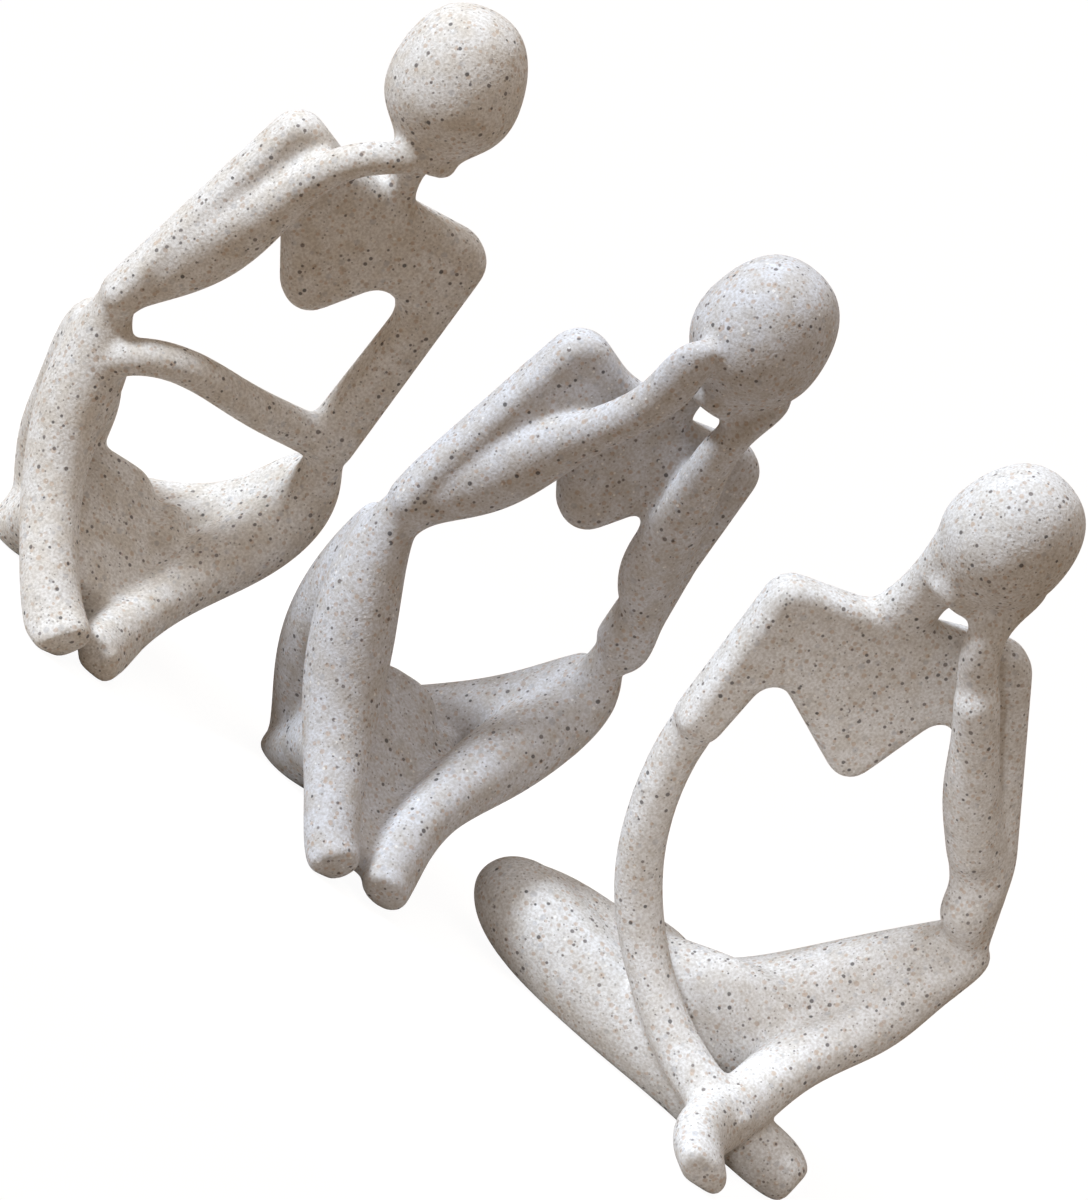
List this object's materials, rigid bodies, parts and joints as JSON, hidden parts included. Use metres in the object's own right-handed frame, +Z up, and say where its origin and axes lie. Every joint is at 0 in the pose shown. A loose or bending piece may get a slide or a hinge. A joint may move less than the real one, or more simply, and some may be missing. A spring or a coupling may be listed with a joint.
{
  "type": "thinker figurine set",
  "caption": "Seated abstract thinker figures with egg-shaped heads and open bodies, cast in speckled sandstone resin, in a row for a shelf or desk.",
  "frame": {"origin": "on the floor plane, on the cut seat under the middle figure", "axes": "+X along the row from the hand-on-chin figure to the cross-legged figure, +Z up; the figures look towards -Y, turned 27 degrees towards +X"},
  "size_m": [0.1912, 0.0587, 0.131],
  "materials": {
    "warm_sandstone_resin": "matt cast resin filled with fine sand, off-white with dark and brown grains",
    "cool_sandstone_resin": "matt cast resin filled with fine sand, cool grey-white with dark and brown grains",
    "grey_sandstone_resin": "matt cast resin filled with fine sand, grey-white with dark and brown grains"
  },
  "bodies": {
    "root": {"thinker_hand_on_chin": "warm_sandstone_resin", "thinker_hands_on_cheeks": "cool_sandstone_resin", "thinker_cross_legged": "grey_sandstone_resin"}
  },
  "joints": []
}
